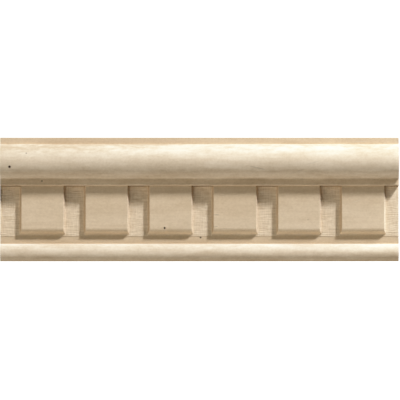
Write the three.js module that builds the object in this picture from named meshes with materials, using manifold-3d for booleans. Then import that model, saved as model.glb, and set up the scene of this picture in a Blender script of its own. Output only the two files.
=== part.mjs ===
// A wooden chair rail with dentils: a bar with a moulded front and a flat back, nailed along a wall.
//
// Millimetres, +Z up. The back lies in the plane Y = 0 and the front faces -Y. X runs along the rail.
// The origin is the middle of the back, where the rail meets the wall.
//
// The front is drawn once as a profile and swept along X, and the gaps between the dentils are then
// cut out of it. Each member's height is its own value, and the rail's height is their sum. "Proud" is
// how far a surface stands in front of the ground, which is the plane of the lower fillet.

import * as THREE from "three";
import { mergeVertices } from "three/addons/utils/BufferGeometryUtils.js";
import Module from "manifold-3d";

// Thickness of the wood from the back to the ground.
const GROUND_THICKNESS = 6.4;

// The plain fillet at the top, and the nose below it. The nose is a round whose axis lies in the
// fillet's plane, and it ends so many degrees below straight ahead.
const TOP_FILLET_HEIGHT = 3.4;
const TOP_FILLET_PROUD = 1.9;
const NOSE_RADIUS = 9.2;
const NOSE_END_DEG = 65.93;

// The flat band under the nose, which shelters the dentils.
const FASCIA_HEIGHT = 3.7;
const FASCIA_PROUD = 4.5;

// The dentils: flat faces, each with a round at its foot that runs into a small cove, which brings the
// surface back to the depth of the gap floors. A low ledge at that depth is left below the cove.
const DENTIL_COUNT = 6;
const DENTIL_WIDTH = 21.6;
const DENTIL_HEIGHT = 25.9;
const DENTIL_PROUD = 3.0;
const DENTIL_FOOT_RADIUS = 2.7;
const DENTIL_COVE_RADIUS = 1.2;
const LEDGE_HEIGHT = 0.5;

// The gaps between them: their width at the mouth, how far the walls lean out from square, how little
// of the wood is left on the floor, and how far below the fascia they stop.
const GAP_WIDTH = 11.2;
const GAP_WALL_LEAN_DEG = 17;
const GAP_FLOOR_PROUD = 0.15;
const GAP_BELOW_FASCIA = 0.2;

// How far the rail runs on past its first and its last dentil before it is cut square.
const LEFT_END = 10.9;
const RIGHT_END = 7.6;

// The fillet and the bead along the bottom. The bead is a round whose axis lies in the ground, and the
// bottom edge cuts it off flat where it has turned so many degrees below straight ahead.
const LOWER_FILLET_HEIGHT = 3.8;
const BEAD_RADIUS = 4.65;
const BEAD_END_DEG = 73.13;

// Fineness of the curves, and how far a cutter reaches past the wood that it removes.
const CURVE_SEGMENTS = 14;
const CUTTER_OVERREACH = 2;

// The two rounds' turns in radians, from which their heights below their axes follow.
const noseEnd = THREE.MathUtils.degToRad(NOSE_END_DEG);
const beadEnd = THREE.MathUtils.degToRad(BEAD_END_DEG);

// The members stacked from the top down, each with its height.
const heights = {
  topFillet: TOP_FILLET_HEIGHT,
  noseUpper: NOSE_RADIUS,
  noseLower: NOSE_RADIUS * Math.sin(noseEnd),
  fascia: FASCIA_HEIGHT,
  dentil: DENTIL_HEIGHT,
  lowerFillet: LOWER_FILLET_HEIGHT,
  beadUpper: BEAD_RADIUS,
  beadLower: BEAD_RADIUS * Math.sin(beadEnd),
};
const railHeight = Object.values(heights).reduce((sum, height) => sum + height, 0);
const top = railHeight / 2;

// Z of each member's lower edge.
const below = {};
let level = top;
for (const [member, height] of Object.entries(heights)) {
  level -= height;
  below[member] = level;
}

// The dentils repeat at this pitch, and the rail runs on a little past the outer two.
const pitch = DENTIL_WIDTH + GAP_WIDTH;
const railLength = LEFT_END + DENTIL_COUNT * pitch - GAP_WIDTH + RIGHT_END;
const firstDentilX = -railLength / 2 + LEFT_END;

// Y of a surface that stands this far in front of the ground.
const front = (proud) => -(GROUND_THICKNESS + proud);

// The profile in Y and Z, from the top of the back round the front to the foot of the back.
function railProfile() {
  // The foot's round leaves the face straight down and turns back, and the cove turns the other way by
  // as much, so that the two together reach from the face to the ledge.
  const bothRadii = DENTIL_FOOT_RADIUS + DENTIL_COVE_RADIUS;
  const footTurn = Math.acos(1 - (DENTIL_PROUD - GAP_FLOOR_PROUD) / bothRadii);
  const ledgeTop = below.dentil + LEDGE_HEIGHT;
  const footAxisY = front(DENTIL_PROUD - DENTIL_FOOT_RADIUS);
  const footAxisZ = ledgeTop + bothRadii * Math.sin(footTurn);
  const coveAxisY = front(GAP_FLOOR_PROUD + DENTIL_COVE_RADIUS);

  const shape = new THREE.Shape();
  shape.moveTo(0, top);
  shape.lineTo(front(TOP_FILLET_PROUD), top);
  shape.lineTo(front(TOP_FILLET_PROUD), below.topFillet);
  shape.absarc(front(TOP_FILLET_PROUD), below.noseUpper, NOSE_RADIUS, Math.PI / 2, Math.PI + noseEnd, false);
  shape.lineTo(front(FASCIA_PROUD), below.noseLower);
  shape.lineTo(front(FASCIA_PROUD), below.fascia);
  shape.lineTo(front(DENTIL_PROUD), below.fascia);
  shape.absarc(footAxisY, footAxisZ, DENTIL_FOOT_RADIUS, Math.PI, Math.PI + footTurn, false);
  shape.absarc(coveAxisY, ledgeTop, DENTIL_COVE_RADIUS, footTurn, 0, true);
  shape.lineTo(front(GAP_FLOOR_PROUD), below.dentil);
  shape.lineTo(front(0), below.dentil);
  shape.lineTo(front(0), below.lowerFillet);
  shape.absarc(front(0), below.beadUpper, BEAD_RADIUS, Math.PI / 2, Math.PI + beadEnd, false);
  shape.lineTo(0, below.beadLower);
  shape.closePath();
  return shape;
}

// The profile swept along X and centred on the origin.
function railBar() {
  const bar = new THREE.ExtrudeGeometry(railProfile(), {
    depth: railLength,
    bevelEnabled: false,
    curveSegments: CURVE_SEGMENTS,
  });
  const alongX = new THREE.Vector3(1, 0, 0);
  const alongY = new THREE.Vector3(0, 1, 0);
  const alongZ = new THREE.Vector3(0, 0, 1);
  bar.applyMatrix4(new THREE.Matrix4().makeBasis(alongY, alongZ, alongX));
  return bar.translate(-railLength / 2, 0, 0);
}

// What one gap takes away: its section in X and Y, from its floor out past the dentils' faces, swept
// from just under the fascia down to the middle of the lower fillet, where nothing stands before it.
function gapCutter(centreX) {
  const floorY = front(GAP_FLOOR_PROUD);
  const mouthY = front(DENTIL_PROUD);
  const outerY = mouthY - CUTTER_OVERREACH;
  const lean = Math.tan(THREE.MathUtils.degToRad(GAP_WALL_LEAN_DEG));
  const halfAtFloor = GAP_WIDTH / 2 - lean * (floorY - mouthY);
  const halfOutside = GAP_WIDTH / 2 + lean * CUTTER_OVERREACH;

  const section = new THREE.Shape();
  section.moveTo(-halfOutside, outerY);
  section.lineTo(halfOutside, outerY);
  section.lineTo(halfAtFloor, floorY);
  section.lineTo(-halfAtFloor, floorY);
  section.closePath();

  const upperZ = below.fascia - GAP_BELOW_FASCIA;
  const lowerZ = (below.dentil + below.lowerFillet) / 2;
  const cutter = new THREE.ExtrudeGeometry(section, { depth: upperZ - lowerZ, bevelEnabled: false });
  return cutter.translate(centreX, 0, lowerZ);
}

const wasm = await Module();
wasm.setup();

// A closed geometry as a solid that can be joined or cut.
function toSolid(geometry) {
  const bare = geometry.clone();
  bare.deleteAttribute("normal");
  bare.deleteAttribute("uv");
  const merged = mergeVertices(bare);
  return new wasm.Manifold(
    new wasm.Mesh({
      numProp: 3,
      vertProperties: merged.attributes.position.array,
      triVerts: new Uint32Array(merged.index.array),
    }),
  );
}

// A solid as a flat-shaded geometry.
function toGeometry(solid) {
  const { vertProperties, triVerts } = solid.getMesh();
  const indexed = new THREE.BufferGeometry()
    .setAttribute("position", new THREE.BufferAttribute(vertProperties, 3))
    .setIndex(new THREE.BufferAttribute(triVerts, 1));
  const geometry = indexed.toNonIndexed();
  geometry.computeVertexNormals();
  return geometry;
}

// The bar with its gaps cut: one before each dentil, and one after the last. The outer two run out
// through the rail's ends.
function chairRail() {
  let solid = toSolid(railBar());
  for (let i = 0; i <= DENTIL_COUNT; i += 1) {
    const centreX = firstDentilX - GAP_WIDTH / 2 + i * pitch;
    solid = solid.subtract(toSolid(gapCutter(centreX)));
  }
  const bareWood = new THREE.MeshStandardMaterial({ color: 0xd9bf9c, roughness: 0.62, metalness: 0 });
  const mesh = new THREE.Mesh(toGeometry(solid), bareWood);
  mesh.name = "chair_rail";
  return mesh;
}

const rail = new THREE.Group();
rail.add(chairRail());

export default rail;
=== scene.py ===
# %% [markdown]
# # A dentil chair rail in bare hardwood
# The rail is one bar of pale wood with a moulded front: a fillet, a full rounded nose, a fascia, a row
# of dentils, another fillet and a small bead. The solid model fixes every size and place. Here the same
# bar is made again as a finer skin, with arrises a little rubbed and the marks that the cutter left in
# the gaps, and it gets the wood. The lesson starts by loading the solid model as a fixed frame.

# %% Load the frame
import math
import bpy
import bmesh
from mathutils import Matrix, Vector, noise


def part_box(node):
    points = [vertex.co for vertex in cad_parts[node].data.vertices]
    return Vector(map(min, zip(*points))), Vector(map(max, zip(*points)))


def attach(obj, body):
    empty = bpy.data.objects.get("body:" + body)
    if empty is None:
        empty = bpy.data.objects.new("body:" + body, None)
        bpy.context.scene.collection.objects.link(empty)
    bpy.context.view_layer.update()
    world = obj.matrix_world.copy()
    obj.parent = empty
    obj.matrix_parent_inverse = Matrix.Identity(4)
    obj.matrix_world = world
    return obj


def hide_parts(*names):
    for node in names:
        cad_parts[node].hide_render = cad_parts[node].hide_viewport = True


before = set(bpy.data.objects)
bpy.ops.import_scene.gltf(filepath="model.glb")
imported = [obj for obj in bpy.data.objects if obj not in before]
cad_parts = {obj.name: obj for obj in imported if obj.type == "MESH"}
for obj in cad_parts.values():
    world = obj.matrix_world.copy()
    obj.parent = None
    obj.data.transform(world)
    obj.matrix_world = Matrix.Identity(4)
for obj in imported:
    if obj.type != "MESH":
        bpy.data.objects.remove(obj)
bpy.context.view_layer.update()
MM = 0.001
low, high = (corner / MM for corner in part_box("chair_rail"))
LEFT, RIGHT = low.x, high.x
BOTTOM, TOP = low.z, high.z
print(f"rail {RIGHT - LEFT:.1f} x {high.y - low.y:.1f} x {TOP - BOTTOM:.1f} mm")

# %% [markdown]
# ## The members
# A joiner reads a moulding as members stacked one on another. These heights and projections are those
# of the solid model, in millimetres, because the skin has to lie where the solid is. A surface is proud
# by as much as it stands in front of the lower fillet. Everything else is worked out from them, from the
# bottom up.

# %% Sizes of the members
GROUND = 6.4
TOP_FILLET_PROUD = 1.9
NOSE_RADIUS = 9.2
NOSE_BELOW_AXIS = 8.4
FASCIA_HEIGHT = 3.7
FASCIA_PROUD = 4.5
DENTIL_HEIGHT = 25.9
DENTIL_PROUD = 3.0
FOOT_RADIUS = 2.7
COVE_RADIUS = 1.2
LEDGE_HEIGHT = 0.5
GAP_FLOOR_PROUD = 0.15
BEAD_RADIUS = 4.65
BEAD_BELOW_AXIS = 4.45
LOWER_FILLET = 3.8

bead_axis = BOTTOM + BEAD_BELOW_AXIS
dentil_foot = bead_axis + BEAD_RADIUS + LOWER_FILLET
dentil_top = dentil_foot + DENTIL_HEIGHT
nose_end = dentil_top + FASCIA_HEIGHT
nose_axis = nose_end + NOSE_BELOW_AXIS
nose_top = nose_axis + NOSE_RADIUS


def front(proud):
    """Y of a surface that stands this far in front of the lower fillet."""
    return -(GROUND + proud)


nose_front = front(TOP_FILLET_PROUD + NOSE_RADIUS)
print(f"top fillet {TOP - nose_top:.1f} mm, nose front at y {nose_front:.1f} mm")

# %% [markdown]
# ## The outline
# The moulding's section is one closed line. It could be typed in as points, but then its curves would be
# only as true as the list. Spinning a single vertex about an axis draws an arc, and extruding a single
# vertex draws a straight, so the line is drawn as a draughtsman would, member by member.

# %% Drawing tools for an outline
def straight(bm, vertex, y, z, pieces=1):
    """Draws on from a vertex to a point, in equal edges, and returns the last vertex."""
    start, end = vertex.co.copy(), Vector((vertex.co.x, y, z))
    for step in range(pieces):
        vertex = bmesh.ops.extrude_vert_indiv(bm, verts=[vertex])["verts"][0]
        vertex.co = start.lerp(end, (step + 1) / pieces)
    return vertex


def arc(bm, vertex, y, z, turn, steps):
    """Draws on from a vertex round a centre, turning from the top towards the front."""
    spun = bmesh.ops.spin(
        bm, geom=[vertex], cent=(vertex.co.x, y, z), axis=(1, 0, 0), angle=turn, steps=steps
    )
    return next(part for part in spun["geom_last"] if isinstance(part, bmesh.types.BMVert))


# %% [markdown]
# ## Drawing the section
# The line starts at the top of the back and goes round the front. Each straight is drawn in a few equal
# edges, so that the skin's faces stay well shaped, and the dentils' face in many, because the gaps and
# their cutter marks are going to be pushed into it. Just under the fascia it has two edges close together
# for the thin crevice in which each gap ends there.

# %% Draw the section and close it
NOSE_STEPS, FOOT_STEPS, COVE_STEPS, BEAD_STEPS, FACE_STEPS = 46, 14, 9, 32, 99
CREVICE_HEIGHT, CREVICE_EASE = 0.3, 0.09
crevice_foot = dentil_top - CREVICE_HEIGHT
nose_turn = math.pi / 2 + math.asin(NOSE_BELOW_AXIS / NOSE_RADIUS)
bead_turn = math.pi / 2 + math.asin(BEAD_BELOW_AXIS / BEAD_RADIUS)
both_radii = FOOT_RADIUS + COVE_RADIUS
foot_turn = math.acos(1 - (DENTIL_PROUD - GAP_FLOOR_PROUD) / both_radii)
ledge_top = dentil_foot + LEDGE_HEIGHT
face_end = ledge_top + both_radii * math.sin(foot_turn)

bm = bmesh.new()
back_top = bm.verts.new((LEFT, 0, TOP))
front_top = straight(bm, back_top, front(TOP_FILLET_PROUD), TOP, pieces=2)
fillet_foot = straight(bm, front_top, front(TOP_FILLET_PROUD), nose_top, pieces=3)
nose_lip = arc(bm, fillet_foot, front(TOP_FILLET_PROUD), nose_axis, nose_turn, NOSE_STEPS)
fascia_top = straight(bm, nose_lip, front(FASCIA_PROUD), nose_end, pieces=3)
fascia_lip = straight(bm, fascia_top, front(FASCIA_PROUD), dentil_top, pieces=4)
dentil_head = straight(bm, fascia_lip, front(DENTIL_PROUD), dentil_top, pieces=2)
under_crevice = straight(bm, dentil_head, front(DENTIL_PROUD), crevice_foot)
face_start = straight(bm, under_crevice, front(DENTIL_PROUD), crevice_foot - CREVICE_EASE)
face_foot = straight(bm, face_start, front(DENTIL_PROUD), face_end, FACE_STEPS)
cove_top = arc(bm, face_foot, front(DENTIL_PROUD - FOOT_RADIUS), face_end, foot_turn, FOOT_STEPS)
cove_axis = front(GAP_FLOOR_PROUD + COVE_RADIUS)
cove_foot = arc(bm, cove_top, cove_axis, ledge_top, -foot_turn, COVE_STEPS)
ledge_foot = straight(bm, cove_foot, front(GAP_FLOOR_PROUD), dentil_foot, pieces=3)
foot_end = straight(bm, ledge_foot, front(0), dentil_foot)
bead_start = straight(bm, foot_end, front(0), bead_axis + BEAD_RADIUS, pieces=4)
bead_lip = arc(bm, bead_start, front(0), bead_axis, bead_turn, BEAD_STEPS)
back_foot = straight(bm, bead_lip, 0, BOTTOM, pieces=4)
bm.edges.new((back_foot, back_top))
section = bmesh.ops.contextual_create(bm, geom=list(bm.edges))["faces"][0]
print(f"section of {len(section.verts)} vertices, {section.calc_area():.0f} square mm")

# %% [markdown]
# ## Rubbed arrises
# A planed arris is never a knife edge: sanding leaves it rounded by a quarter of a millimetre. The lip
# of the fascia is rubbed most, and that sliver is what catches the light along it. Bevelling the corner
# vertices of the flat section rounds every long arris at once, before there is a long arris to bevel.

# %% Round the outer corners of the section
ARRIS = 0.25
FASCIA_ARRIS = 0.7
ARRIS_SEGMENTS = 4
for corners, size in (
    ([back_top, front_top, nose_lip, bead_lip, back_foot], ARRIS),
    ([fascia_lip], FASCIA_ARRIS),
):
    bmesh.ops.bevel(
        bm,
        geom=corners,
        offset=size,
        segments=ARRIS_SEGMENTS,
        profile=0.5,
        affect="VERTICES",
        material=-1,
    )
section = bm.faces[:][0]
print(f"section of {len(section.verts)} vertices once its arrises are rounded")

# %% [markdown]
# ## Where the gaps fall
# The gaps were cut across the rail one by one on a jig, so they stray by a tenth or two of a millimetre,
# as the photo shows. Each has a flat floor and two leaning walls. The rail is divided along its length
# so that there are lines on every foot and lip of a wall, closer together on the floors, where the
# cutter marks go, and few on the dentils, which are flat.

# %% Stations along the rail
DENTIL_WIDTH = 21.6
GAP_WIDTH = 11.2
WALL_LEAN = math.tan(math.radians(17))
LEFT_END = 10.9
STRAY = (0.0, 0.05, 0.02, -0.03, 0.25, 0.04, 0.2)
FLOOR_CELLS, WALL_CELLS, LIP_CELLS, DENTIL_CELLS = 18, 5, 2, 5
LIP_SPREAD = 0.3

pitch = DENTIL_WIDTH + GAP_WIDTH
first_gap = LEFT + LEFT_END - GAP_WIDTH / 2
gap_centres = [first_gap + i * pitch + stray for i, stray in enumerate(STRAY)]
half_mouth = GAP_WIDTH / 2
half_floor = half_mouth - WALL_LEAN * (DENTIL_PROUD - GAP_FLOOR_PROUD)


def steps_between(a, b, count):
    """Equal steps from a, up to but without b."""
    return [a + (b - a) * i / count for i in range(count)]


lip = half_mouth + LIP_SPREAD
beside = steps_between(half_floor, half_mouth, WALL_CELLS) + steps_between(half_mouth, lip, LIP_CELLS)
offsets = steps_between(-half_floor, half_floor, FLOOR_CELLS) + beside + [-offset for offset in beside]
stations = {LEFT, RIGHT}
for centre in gap_centres:
    stations.update(centre + offset for offset in offsets)
for centre, following in zip(gap_centres, gap_centres[1:]):
    stations.update(steps_between(centre + lip, following - lip, DENTIL_CELLS))
    stations.add(following - lip)
stations = sorted(x for x in stations if LEFT <= x <= RIGHT)
print(f"{len(gap_centres)} gaps, {len(stations)} stations")

# %% [markdown]
# ## Sweeping the section
# A moulding is the same section all along, so the section face is extruded from station to station. The
# first face stays as the left end and the last one is the right end, and the solid is closed all round.

# %% Extrude the section along the rail
for here, there in zip(stations, stations[1:]):
    made = bmesh.ops.extrude_face_region(bm, geom=[section, *section.edges])["geom"]
    section = next(part for part in made if isinstance(part, bmesh.types.BMFace))
    bmesh.ops.translate(bm, vec=(there - here, 0, 0), verts=section.verts)
print(f"swept bar of {len(bm.verts)} vertices")

# %% [markdown]
# ## Cutting the gaps
# On the real rail a cutter took the gaps out of a plain strip. A boolean would do that here too, but it
# leaves long thin faces. Because the skin already has lines where the walls are, it is enough to push
# the strip's vertices back to where the cutter ran, and to ease the two surfaces into each other where
# they meet, which rubs the upright arrises as well. Two attributes keep what the cutter touched, because
# torn grain takes another finish than a planed face: one for all of it and one for the walls, which also
# says how much painted shade a wall gets. The wall on the right of each gap is turned away from the key
# light and gets the full painted shade, a browner colour, and the one on the left a quarter of it.

# %% Push the strip back in the gaps
UPRIGHT_ARRIS, FLOOR_CORNER = 0.45, 0.1
CREVICE_DEPTH = 0.8
# How much painted shade each wall gets: the right one of a gap is turned away from the key light.
LEFT_WALL_SHADE, RIGHT_WALL_SHADE = 0.25, 1.0
SLACK = 0.01
cut_layer = bm.verts.layers.float.new("cut")
wall_shade_layer = bm.verts.layers.float.new("wall")


def eased_max(a, b, reach):
    """The greater of two values, rounded over where they are nearly the same."""
    nearness = max(reach - abs(a - b), 0) / reach
    return max(a, b) + nearness * nearness * reach / 4


def in_strip(point):
    """True on the dentils' faces and feet, and not on the fascia above or the fillet below."""
    upright = dentil_foot + SLACK < point.z < dentil_top + SLACK
    return upright and front(DENTIL_PROUD) - SLACK < point.y < front(0) - SLACK


floor_y = front(GAP_FLOOR_PROUD)
for vertex in bm.verts:
    point = vertex.co
    if not in_strip(point):
        continue
    from_middle = min((point.x - centre for centre in gap_centres), key=abs)
    aside = abs(from_middle)
    cutter_y = floor_y - max(aside - half_floor, 0) / WALL_LEAN
    planed_y = point.y
    point.y = eased_max(planed_y, cutter_y, UPRIGHT_ARRIS if aside > half_floor else FLOOR_CORNER)
    vertex[cut_layer] = float(cutter_y > planed_y - 2 * SLACK)
    if cutter_y > planed_y and aside > half_floor + SLACK:
        vertex[wall_shade_layer] = RIGHT_WALL_SHADE if from_middle > 0 else LEFT_WALL_SHADE
    if aside < half_mouth and point.z > crevice_foot - SLACK:
        point.y += CREVICE_DEPTH
print(f"{sum(v[cut_layer] > 0.5 for v in bm.verts)} vertices cut back")

# %% [markdown]
# ## Cutter marks
# A cutter head leaves a shallow scallop for each knife that passes, across the grain, and tears a little
# fuzz between them. The scallops are under a tenth of a millimetre deep, but in raking light they are
# what tells the gap floors from the planed faces, so they are real relief and not only shading. Smooth
# noise, which is the same in every run, makes them wander and come and go.

# %% Scallop the gap floors
MARK_PITCH, MARK_DEPTH, MARK_STRENGTH, MARK_WANDER = 1.15, 0.08, 0.6, 0.55
FUZZ_DEPTH = 0.06
FADE_AT_WALL, FADE_UNDER_FASCIA = 0.5, 0.6


def gap_noise(x, z, gap, waves_along, waves_up, apart):
    """Smooth noise at so many waves a millimetre, read so far apart from gap to gap."""
    return noise.noise(Vector((x * waves_along, z * waves_up, gap * apart)))


def marks(x, z, gap):
    """How far a floor is cut below or left above its plane at a place."""
    wander = gap_noise(x, z, gap, waves_along=0.45, waves_up=0.3, apart=7.3)
    strength = MARK_STRENGTH + gap_noise(x, z, gap, waves_along=0.12, waves_up=0.12, apart=3.1)
    scallop = math.cos(2 * math.pi * (z + MARK_WANDER * wander) / MARK_PITCH)
    fuzz = gap_noise(x, z, gap, waves_along=0.9, waves_up=2.2, apart=31.7)
    return MARK_DEPTH * strength * scallop / 2 + FUZZ_DEPTH * fuzz


for vertex in bm.verts:
    x, z = vertex.co.x, vertex.co.z
    on_floor = vertex[cut_layer] and not vertex[wall_shade_layer]
    if not on_floor or z >= dentil_top - FADE_UNDER_FASCIA:
        continue
    gap = min(range(len(gap_centres)), key=lambda i: abs(x - gap_centres[i]))
    near_wall = min((half_floor - abs(x - gap_centres[gap])) / FADE_AT_WALL, 1)
    vertex.co.y += marks(x, z, gap) * near_wall
print(f"marks of pitch {MARK_PITCH} mm on the floors of {len(gap_centres)} gaps")

# %% [markdown]
# ## Telling the members apart
# The same wood looks different from member to member. The nose and the bead were sanded smooth, which
# leaves them paler, and that paler colour stands in part for their sheen, a painted sheen. Being round
# they cut through many growth layers, so that the figure of the wood shows most on them; on the nose's
# upper half it is painted stronger as the mottled sheen of the highlight, and the bead's crest is
# painted paler still as a highlight. The flat dentils run along one layer and are nearly plain. The
# lower fillet, in the recess between dentils and bead, is painted browner as shade, which a value below
# 0 stands for. Two more attributes say how much of each a vertex gets, so that one finish can serve the
# whole bar.

# %% Mark what was sanded, the painted sheen, highlight and shade, and where the figure shows
sanding_light_layer = bm.verts.layers.float.new("sanded")
figure_and_sheen_layer = bm.verts.layers.float.new("figure")
# The lower fillet is painted browner as shade, in its recess between dentils and bead.
FASCIA_LOOK, PLAIN_LOOK, LOWER_FILLET_SHADE_LOOK = (0.0, 0.8), (0.0, 0.3), (-0.3, 0.3)
# The nose and the bead are sanded paler, which is partly a painted sheen.
NOSE_SANDED_SHEEN, NOSE_FIGURE, FIGURE_SHEEN_ABOVE, MORE_BELOW = 1.0, 0.45, 1.6, 0.45
# The bead's crest is painted paler still, a painted highlight.
BEAD_SANDED_SHEEN, CREST_HIGHLIGHT, BEAD_FIGURE = 0.85, 0.55, 0.75
NEAR_FLAT, NEAR_ROUND = 0.1, 0.05


def nose_look(point):
    """The nose shows its figure most on the upper half, painted stronger there as the highlight's sheen.
    """
    upward = (point.z - nose_axis) / NOSE_RADIUS
    return NOSE_SANDED_SHEEN, NOSE_FIGURE + FIGURE_SHEEN_ABOVE * max(upward, 0) ** 2 + MORE_BELOW * max(-upward, 0)


def bead_look(point):
    """The bead is sanded paler, with a painted highlight on its crest that fades towards the bottom edge.
    """
    upward = (point.z - bead_axis) / BEAD_RADIUS
    return BEAD_SANDED_SHEEN + CREST_HIGHLIGHT * upward, BEAD_FIGURE


def member_look(point):
    """How far the member at a point is sanded, painted with sheen or shade, and how much figure it shows.
    """
    if point.z > nose_end - NEAR_FLAT:
        return nose_look(point) if point.y < front(TOP_FILLET_PROUD) - NEAR_ROUND else PLAIN_LOOK
    if point.z > dentil_top - NEAR_FLAT and point.y < front(DENTIL_PROUD) - NEAR_FLAT:
        return FASCIA_LOOK
    if point.z < bead_axis + BEAD_RADIUS - NEAR_ROUND:
        return bead_look(point)
    return LOWER_FILLET_SHADE_LOOK if point.z < dentil_foot + NEAR_FLAT else PLAIN_LOOK


for vertex in bm.verts:
    vertex[sanding_light_layer], vertex[figure_and_sheen_layer] = member_look(vertex.co)
print(f"{sum(v[sanding_light_layer] > 0.5 for v in bm.verts)} vertices sanded")

# %% [markdown]
# ## The finished skin
# The two ends are single faces of many corners, which are split into triangles now that their outline
# has its final shape. The normals are turned outwards, the mesh is brought from millimetres to metres,
# and long smooth stretches are shaded smooth with the arrises left crisp.

# %% Make the rail and let it stand for the solid
CRISP_ANGLE = math.radians(24)
bmesh.ops.triangulate(bm, faces=[face for face in bm.faces if len(face.verts) > 4])
bmesh.ops.recalc_face_normals(bm, faces=bm.faces)
bmesh.ops.scale(bm, vec=(MM, MM, MM), verts=bm.verts)
mesh = bpy.data.meshes.new("rail_skin")
bm.to_mesh(mesh)
bm.free()
mesh.shade_smooth()
mesh.set_sharp_from_angle(angle=CRISP_ANGLE)
rail = bpy.data.objects.new("rail_skin", mesh)
bpy.context.scene.collection.objects.link(rail)
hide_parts("chair_rail")
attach(rail, "root")
mesh.calc_loop_triangles()
print(f"rail skin of {len(mesh.loop_triangles)} triangles")

# %% [markdown]
# ## Writing shader maths as Python
# A wood finish is a formula over the surface. Written as loose nodes it is hard to read, so a value that
# varies over the surface gets a small wrapper: the usual operators add Math nodes, and one method adds
# any other node.

# %% The two classes that every finish uses
class Value:
    """A value that varies over the surface, on which Python's own operators add Math nodes."""

    def __init__(self, finish, socket):
        self.finish, self.socket = finish, socket

    def work_out(self, operation, *values):
        return self.finish.node("Math", {"operation": operation}, dict(enumerate(values)))

    def __add__(self, other):
        return self.work_out("ADD", self, other)

    def __sub__(self, other):
        return self.work_out("SUBTRACT", self, other)

    def __rsub__(self, other):
        return self.work_out("SUBTRACT", other, self)

    def __mul__(self, other):
        return self.work_out("MULTIPLY", self, other)

    def __truediv__(self, other):
        return self.work_out("DIVIDE", self, other)

    def __rtruediv__(self, other):
        return self.work_out("DIVIDE", other, self)

    def __pow__(self, other):
        return self.work_out("POWER", self, other)

    def __rpow__(self, other):
        return self.work_out("POWER", other, self)

    def fraction(self):
        return self.work_out("FRACT", self)

    def or_more(self, other):
        return self.work_out("MAXIMUM", self, other)

    __radd__, __rmul__ = __add__, __mul__


class Finish:
    """A tree of nodes, and the one way in which nodes are added to it."""

    def __init__(self, tree):
        self.tree = tree
        tree.nodes.clear()

    def node(self, kind, settings=None, inputs=None, output=0):
        """Adds a node: its settings first, then the numbers or values of its sockets."""
        made = self.tree.nodes.new("ShaderNode" + kind)
        for name, setting in (settings or {}).items():
            if name == "stops":
                self.set_stops(made.color_ramp, setting)
            else:
                setattr(made, name, setting)
        for name, value in (inputs or {}).items():
            if isinstance(value, Value):
                self.tree.links.new(value.socket, made.inputs[name])
            else:
                made.inputs[name].default_value = value
        return Value(self, made.outputs[output]) if made.outputs else None

    def set_stops(self, ramp, stops):
        while len(ramp.elements) < len(stops):
            ramp.elements.new(1.0)
        for element, (place, shade) in zip(ramp.elements, stops):
            element.position = place
            element.color = (shade, shade, shade, 1.0)

    def blend(self, share, first, second):
        """A colour that goes from the first to the second as the share goes from 0 to 1."""
        colour_share, colour_first, colour_second, colour_result = 0, 6, 7, 2
        inputs = {colour_share: share, colour_first: first, colour_second: second}
        return self.node("Mix", {"data_type": "RGBA"}, inputs, colour_result)

    def grow(self, vector, factors):
        """A vector whose three parts are each multiplied."""
        return self.node("VectorMath", {"operation": "MULTIPLY"}, {0: vector, 1: factors})

    def split(self, vector):
        """The three parts of a vector."""
        parts = self.node("SeparateXYZ", {}, {0: vector}).socket.node
        return [Value(self, part) for part in parts.outputs]

    def noise(self, place, stretch, scale, detail, roughness=0.5):
        """Soft noise of about 0 to 1 at so many waves a millimetre, times the stretch along each axis."""
        stretched = self.grow(place, stretch)
        inputs = {"Vector": stretched, "Scale": scale, "Detail": detail, "Roughness": roughness}
        return self.node("TexNoise", {}, inputs)

    def kept(self, name):
        """An attribute that the mesh keeps for each vertex."""
        return self.node("Attribute", {"attribute_name": name}, {}, "Fac")

    def ramp(self, value, *stops):
        """A value read through a curve of (place, shade) stops."""
        return self.node("ValToRGB", {"stops": stops}, {"Fac": value})


def linear(red, green, blue):
    """A colour as a paint chip gives it, 0 to 255, as the shader's own light values."""
    return tuple((part / 255) ** 2.2 for part in (red, green, blue)) + (1.0,)


# %% [markdown]
# ## The wood
# The rail is a pale, close-grained hardwood, planed and not finished. What shows from a step away is
# slow drifts of colour along the grain, fine fibre streaks that run the whole length, and faint growth
# rings. All of it is worked out in three dimensions from the place in the bar, so that the ends show the
# same rings cut across.

# %% Patterns of the wood
def place_in_bar(finish):
    """The place on the bar in millimetres."""
    place = finish.node("TexCoord", {}, {}, "Object")
    return finish.grow(place, (1 / MM, 1 / MM, 1 / MM))


def drifts(finish, place):
    """Slow changes of colour, many times longer than wide."""
    return finish.noise(place, (0.12, 1, 1), scale=0.07, detail=2.0)


def fibres(finish, place):
    """Fine streaks along the grain."""
    return finish.noise(place, (0.03, 1, 1), scale=1.1, detail=4.0, roughness=0.6)


def rings(finish, place):
    """Growth rings: a line where each year's late wood ends, and 0 between."""
    pith_y, pith_z, pith_slope, ring_width, rings_astray = 46.0, 14.0, 0.03, 3.1, 3.0
    wander = finish.noise(place, (0.35, 1, 1), scale=0.03, detail=2.0)
    x, y, z = finish.split(place)
    across = (y - pith_y) ** 2.0 + (z - pith_z + x * pith_slope) ** 2.0
    age = across ** 0.5 / ring_width + wander * rings_astray
    return finish.ramp(age.fraction(), (0.0, 0.0), (0.7, 0.15), (0.93, 1.0), (1.0, 0.0))


def flecks(finish, place):
    """Short dark dashes where a vessel or a ray is cut open."""
    dashes = finish.noise(place, (0.16, 1, 1), scale=2.6, detail=1.0)
    return finish.ramp(dashes, (0.68, 0.0), (0.78, 1.0))


def centred(value, reach):
    """A noise of about 0.5 turned into one of about 0 that strays as far as the reach."""
    return (value - 0.5) * reach


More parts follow.
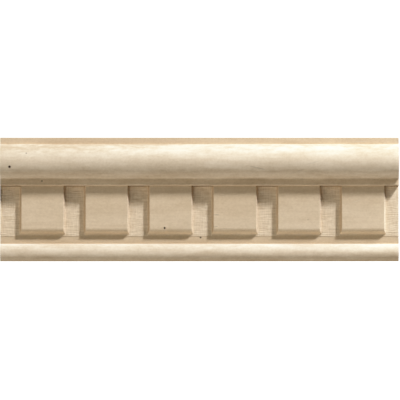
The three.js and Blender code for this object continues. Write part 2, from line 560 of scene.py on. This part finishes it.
def figure(finish, place):
    """Soft patches of some millimetres, where the fibres dip in and out of the surface."""
    patches = finish.noise(place, (0.4, 1, 1), scale=0.5, detail=2.0, roughness=0.6)
    clouds = finish.noise(place, (0.2, 1, 1), scale=0.16, detail=1.0)
    return centred(patches, reach=1.5) + centred(clouds, reach=1.5)


def speckle(finish, place):
    """Pores and rays under a millimetre across."""
    return centred(finish.noise(place, (0.8, 1, 1), scale=1.1, detail=1.0), reach=0.55)


def saw_lines(finish, place):
    """Fine lines along and across the gap floors, left by the cutter's edge and its feed."""
    along = finish.noise(place, (0.12, 0, 1), scale=1.4, detail=1.0)
    across = finish.noise(place, (1, 0, 0.12), scale=1.6, detail=1.0)
    return centred(along, reach=1.6) + centred(across, reach=0.9)


def fuzz(finish, place):
    """The torn fibres that the cutter leaves."""
    return finish.noise(place, (1.2, 1, 1), scale=2.0, detail=3.0, roughness=0.6)


# %% [markdown]
# ## Pin knots and specks
# The rail has a few pin knots no bigger than a match head, and some short streaks. Each is a soft-edged
# dot or dash at its own place on the front. They are placed by where they stand on the photo, and drawn
# by the distance of a surface point from them as seen from the front, which keeps them round there on a
# curved face too.

# %% Where the small marks are
PIXEL = 0.5118
PHOTO_LEFT, PHOTO_TOP = 0.0, 137.45


def on_photo(pixel_x, pixel_y):
    """X and Z in millimetres of a place on the photo."""
    return LEFT + (pixel_x - PHOTO_LEFT) * PIXEL, TOP - (pixel_y - PHOTO_TOP) * PIXEL


# Place on the photo, half length and half height in millimetres, rise to the right, and how strong.
DARK_MARKS = (
    (9.8, 166.8, 0.85, 0.8, 0.0, 1.0),
    (26.5, 153.3, 0.5, 0.45, 0.0, 0.5),
    (42.0, 181.0, 0.6, 0.55, 0.0, 0.6),
    (164.6, 228.0, 0.65, 0.7, 0.0, 1.0),
    (200.6, 237.6, 0.6, 0.5, 0.0, 0.9),
    (308.0, 219.5, 0.35, 0.35, 0.0, 0.3),
    (216.5, 214.8, 1.6, 0.2, 0.0, 0.45),
    (216.0, 226.3, 1.3, 0.18, 0.0, 0.35),
    (227.0, 228.6, 4.6, 0.2, 0.0, 0.12),
    (257.0, 167.8, 4.8, 0.4, -0.22, 0.22),
    (300.0, 170.5, 2.4, 0.5, 0.3, 0.1),
    (312.0, 163.0, 4.2, 0.35, 0.28, 0.1),
)
LIGHT_MARKS = (
    (361.0, 141.4, 4.4, 0.3, 0.03, 0.45),
    (357.0, 201.0, 3.2, 0.3, 0.35, 0.35),
)
print(f"{len(DARK_MARKS)} dark marks and {len(LIGHT_MARKS)} light ones")


def small_marks(finish, place, table):
    """The strongest of a table's knots, specks and streaks at a place on the front."""
    solid_core = 0.3
    here_x, _, here_z = finish.split(place)
    total = None
    for pixel_x, pixel_y, half_length, half_height, rise, strength in table:
        x, z = on_photo(pixel_x, pixel_y)
        aside = here_x - x
        above = here_z - z - aside * rise
        away = (aside / half_length) ** 2.0 + (above / half_height) ** 2.0
        dot = finish.ramp(away, (solid_core, strength), (1.0, 0.0))
        total = dot if total is None else total.or_more(dot)
    _, backward, _ = finish.split(finish.node("NewGeometry", {}, {}, "Normal"))
    return total * finish.ramp(backward * -1.0, (0.1, 0.0), (0.3, 1.0))


# %% [markdown]
# ## Putting the finish together
# The patterns change the colour by only a few hundredths each, because the wood is very even. Where the
# figure darkens it, it also turns it browner, so a tone that runs from 0 to 1 blends a browned copy of the
# colour into a bleached one. The gaps are cut across the grain: fuzzier, a shade paler on their floors,
# and with none of the sheen that planing leaves. The shares say how far each pattern or attribute takes
# the colour towards its own. Some colours are painted light: the sanded members' paleness is partly a
# painted sheen, the bead's crest has a painted highlight, and the lower fillet and the gap walls turned
# away from the key light have painted shade.

# %% The bare hardwood
PALE = linear(222, 201, 171)
WARM = linear(214, 188, 154)
LATE = linear(196, 168, 132)
# Paler colour of the sanded wood, partly a painted sheen; the light streaks use it too.
SANDED_SHEEN = linear(222, 207, 184)
# Painted highlight colour for the bead's crest.
PAINTED_HIGHLIGHT = linear(242, 233, 216)
CUT = linear(229, 209, 180)
# The colour of the painted shade on the gap walls.
PAINTED_WALL_SHADE = linear(190, 162, 131)
KNOT = linear(58, 38, 24)
BROWNED = (0.84, 0.80, 0.74)
BLEACHED = (1.16, 1.20, 1.26)
WARM_SHARE, SANDED_SHEEN_SHARE, CUT_SHARE, WALL_SHADE_SHARE = 0.5, 0.72, 0.7, 0.8
STREAK_SHARE, RING_SHARE, FLECK_SHARE = 0.22, 0.16, 0.25
EVEN_TONE = 0.5
PLANED_ROUGHNESS, ROUGHER_CUT, ROUGHER_STREAK = 0.52, 0.25, 0.06
FIBRE_RELIEF, BUMP_STRENGTH, BUMP_HEIGHT = 0.5, 0.35, 0.04 * MM
SHEEN = 0.4


def bare_hardwood():
    material = bpy.data.materials.new("bare_hardwood")
    material.use_nodes = True
    finish = Finish(material.node_tree)
    place = place_in_bar(finish)
    cut, wall = finish.kept("cut"), finish.kept("wall")
    sanded, figure_and_sheen = finish.kept("sanded"), finish.kept("figure")
    planed = 1 - cut

    drift = finish.ramp(drifts(finish, place), (0.3, 0.0), (0.7, 1.0))
    streak = finish.ramp(fibres(finish, place), (0.3, 0.0), (0.7, 1.0))
    colour = finish.blend(drift * WARM_SHARE, PALE, WARM)
    # Sanded members turn paler: partly sanding, partly a painted sheen.
    colour = finish.blend(sanded * SANDED_SHEEN_SHARE, colour, SANDED_SHEEN)
    # Painted highlight: the bead's crest turns paler where the value passes 1.
    colour = finish.blend(sanded - 1, colour, PAINTED_HIGHLIGHT)
    # Painted shade: the lower fillet turns browner where the value is below 0.
    colour = finish.blend(sanded * -1.0, colour, LATE)
    colour = finish.blend(streak * STREAK_SHARE, colour, LATE)
    colour = finish.blend(rings(finish, place) * RING_SHARE, colour, LATE)
    colour = finish.blend(flecks(finish, place) * planed * FLECK_SHARE, colour, LATE)
    colour = finish.blend(cut * CUT_SHARE, colour, CUT)
    # Painted shade on the gap walls, full on those turned away from the key light.
    colour = finish.blend(wall * WALL_SHADE_SHARE, colour, PAINTED_WALL_SHADE)

    sawn = saw_lines(finish, place) * (cut - wall * WALL_SHADE_SHARE)
    tone = EVEN_TONE + figure(finish, place) * figure_and_sheen + speckle(finish, place) + sawn
    colour = finish.blend(tone, finish.grow(colour, BROWNED), finish.grow(colour, BLEACHED))
    colour = finish.blend(small_marks(finish, place, LIGHT_MARKS), colour, SANDED_SHEEN)
    colour = finish.blend(small_marks(finish, place, DARK_MARKS), colour, KNOT)

    relief = fibres(finish, place) * planed * FIBRE_RELIEF + fuzz(finish, place) * cut
    bump_inputs = {"Strength": BUMP_STRENGTH, "Distance": BUMP_HEIGHT, "Height": relief}
    rough = PLANED_ROUGHNESS + cut * ROUGHER_CUT + streak * ROUGHER_STREAK
    surface = {
        "Base Color": colour,
        "Roughness": rough,
        "Normal": finish.node("Bump", {}, bump_inputs),
        "Specular IOR Level": SHEEN,
    }
    finish.node("OutputMaterial", {}, {"Surface": finish.node("BsdfPrincipled", {}, surface)})
    return material


rail.data.materials.append(bare_hardwood())
print(f"bare hardwood of {len(rail.data.materials[0].node_tree.nodes)} nodes")

# %% [markdown]
# ## The camera
# The photo was taken straight on, from far enough away that every gap looks alike. So the camera stands
# five metres off and has a very long lens, and at the dentils' faces its frame spans just as much of the
# rail as the photo does.

# %% Camera
CAMERA_AWAY = 5000.0
FACE_Y = front(DENTIL_PROUD)
FRAME_PIXELS = 400
SENSOR = 36.0
FARTHEST = 20.0
camera_data = bpy.data.cameras.new("camera")
camera_data.sensor_width = SENSOR
camera_data.lens = SENSOR * (CAMERA_AWAY + FACE_Y) / (FRAME_PIXELS * PIXEL)
camera_data.clip_end = FARTHEST
camera = bpy.data.objects.new("camera", camera_data)
centre_x, centre_z = on_photo(FRAME_PIXELS / 2, FRAME_PIXELS / 2)
camera.location = Vector((centre_x, -CAMERA_AWAY, centre_z)) * MM
camera.rotation_euler = (math.pi / 2, 0, 0)
bpy.context.scene.collection.objects.link(camera)
bpy.context.scene.camera = camera
print(f"lens {camera_data.lens:.0f} mm at {CAMERA_AWAY * MM:.1f} m")

# %% [markdown]
# ## The far lights
# One key light stands high on the right. The white sweep that the rail stands on throws two broad lights
# up, one from under the rail and one from before it, which are what brightens the undersides. A floor
# that bounces the key would do this too, but two lights of a known strength are easier to match.

# %% Far lights
def sun(name, direction, strength, size_degrees, colour):
    """A light from very far away, so that its shadows fall alike along the whole rail."""
    data = bpy.data.lights.new(name, "SUN")
    data.energy, data.angle, data.color = strength, math.radians(size_degrees), colour
    light = bpy.data.objects.new(name, data)
    light.rotation_euler = Vector(direction).to_track_quat("Z", "Y").to_euler()
    bpy.context.scene.collection.objects.link(light)


KEY_DIRECTION = (1.196, -1.0, 1.823)
UNDER_DIRECTION = (-0.1, -0.35, -0.93)
BEFORE_DIRECTION = (-0.2, -0.7, -0.7)
UNDER, BEFORE = "sweep under the rail", "sweep before the rail"
sun("key", KEY_DIRECTION, strength=4.06, size_degrees=7.0, colour=(0.95, 0.96, 1.0))
sun(UNDER, UNDER_DIRECTION, strength=0.66, size_degrees=40.0, colour=(1.0, 0.84, 0.73))
sun(BEFORE, BEFORE_DIRECTION, strength=0.39, size_degrees=30.0, colour=(0.97, 1.0, 0.94))
print(f"{len(bpy.data.lights)} far lights")

# %% [markdown]
# ## The near light
# On the photo the nose gets brighter towards its right end. A far light can't do that, because it is as
# strong everywhere, so a small soft panel stands close to the upper right end.

# %% Light at the upper right
def panel(name, place, size, watts, colour):
    """A square soft light near the rail, which it faces."""
    data = bpy.data.lights.new(name, "AREA")
    data.energy, data.size, data.color = watts, size, colour
    light = bpy.data.objects.new(name, data)
    light.location = place
    light.rotation_euler = Vector(place).to_track_quat("Z", "Y").to_euler()
    light.visible_camera = False
    bpy.context.scene.collection.objects.link(light)


UPPER_RIGHT = (0.26, -0.05, 0.22)
panel("upper right", UPPER_RIGHT, size=0.12, watts=0.82, colour=(0.86, 0.93, 1.0))
print(f"a panel {Vector(UPPER_RIGHT).length / MM:.0f} mm from the middle of the rail")

# %% [markdown]
# ## The room
# A warm wall far off on the left fills the shadows. It is made as the light of the world round the rail,
# which has no strength on the right and grows to its full strength on the left. The camera sees plain
# white instead, because that is what stands behind the rail on the photo.

# %% The room round it
BACKDROP = 1.5
WALL_POWER = 0.86
world = bpy.data.worlds.new("room")
world.use_nodes = True
bpy.context.scene.world = world
room = Finish(world.node_tree)
right, _, _ = room.split(room.node("TexCoord", {}, {}, "Generated"))
power = room.ramp(right * -1.0, (0.0, 0.0), (1.0, 1.0)) * WALL_POWER
seen = room.node("LightPath", {}, {}, "Is Camera Ray")
warm_wall, white = (1.0, 0.95, 0.81, 1.0), (1.0, 1.0, 1.0, 1.0)
colour = room.blend(seen, warm_wall, white)
strength = power * (1 - seen) + seen * BACKDROP
light = room.node("Background", {}, {"Color": colour, "Strength": strength})
room.node("OutputWorld", {}, {"Surface": light})
print(f"room light of {len(world.node_tree.nodes)} nodes")

# %% [markdown]
# ## What the rail stands on
# On the photo the white sweep is so bright that it has no shade left. A plain pale floor with a little
# light of its own comes out as white. The lights above already stand for what the sweep throws back on
# the rail, so the floor itself throws nothing on it, neither light nor shadow.

# %% Floor
FLOOR_SIZE, FLOOR_GLOW, FLOOR_ROUGHNESS = 8.0, 0.6, 0.8
FLOOR_WHITE, GLOW_WHITE = linear(238, 237, 235), (1.0, 1.0, 1.0, 1.0)
floor_bm = bmesh.new()
bmesh.ops.create_grid(floor_bm, x_segments=1, y_segments=1, size=FLOOR_SIZE / 2)
bmesh.ops.translate(floor_bm, vec=(0, 0, BOTTOM * MM), verts=floor_bm.verts)
floor_mesh = bpy.data.meshes.new("floor")
floor_bm.to_mesh(floor_mesh)
floor_bm.free()
floor = bpy.data.objects.new("floor", floor_mesh)
floor.visible_diffuse = floor.visible_glossy = floor.visible_shadow = False
bpy.context.scene.collection.objects.link(floor)


def pale_floor():
    material = bpy.data.materials.new("pale_floor")
    material.use_nodes = True
    finish = Finish(material.node_tree)
    surface = {
        "Base Color": FLOOR_WHITE,
        "Roughness": FLOOR_ROUGHNESS,
        "Emission Color": GLOW_WHITE,
        "Emission Strength": FLOOR_GLOW,
    }
    finish.node("OutputMaterial", {}, {"Surface": finish.node("BsdfPrincipled", {}, surface)})
    return material


floor.data.materials.append(pale_floor())
print(f"floor {FLOOR_SIZE:.0f} m wide at z {BOTTOM:.2f} mm")

# %% [markdown]
# ## How the light becomes a picture
# The plain display transform keeps the wood's own colours, so what the shader says is what shows. Only
# the brightest values are rolled off by a curve, as a camera does, so that the crest of the nose keeps
# its colour instead of turning white all at once.

# %% Display
view = bpy.context.scene.view_settings
view.view_transform = "Standard"
view.look = "None"
view.use_curve_mapping = True
CURVE_REACH = 1.3
SHOULDER = ((0.6, 0.6), (0.8, 0.78), (0.95, 0.89), (1.1, 0.965))
ALL_CHANNELS = 3
curves = view.curve_mapping
curves.white_level = (CURVE_REACH, CURVE_REACH, CURVE_REACH)
for light_in, light_out in SHOULDER:
    curves.curves[ALL_CHANNELS].points.new(light_in / CURVE_REACH, light_out)
curves.update()
print(f"the brightest light shown is {CURVE_REACH}")
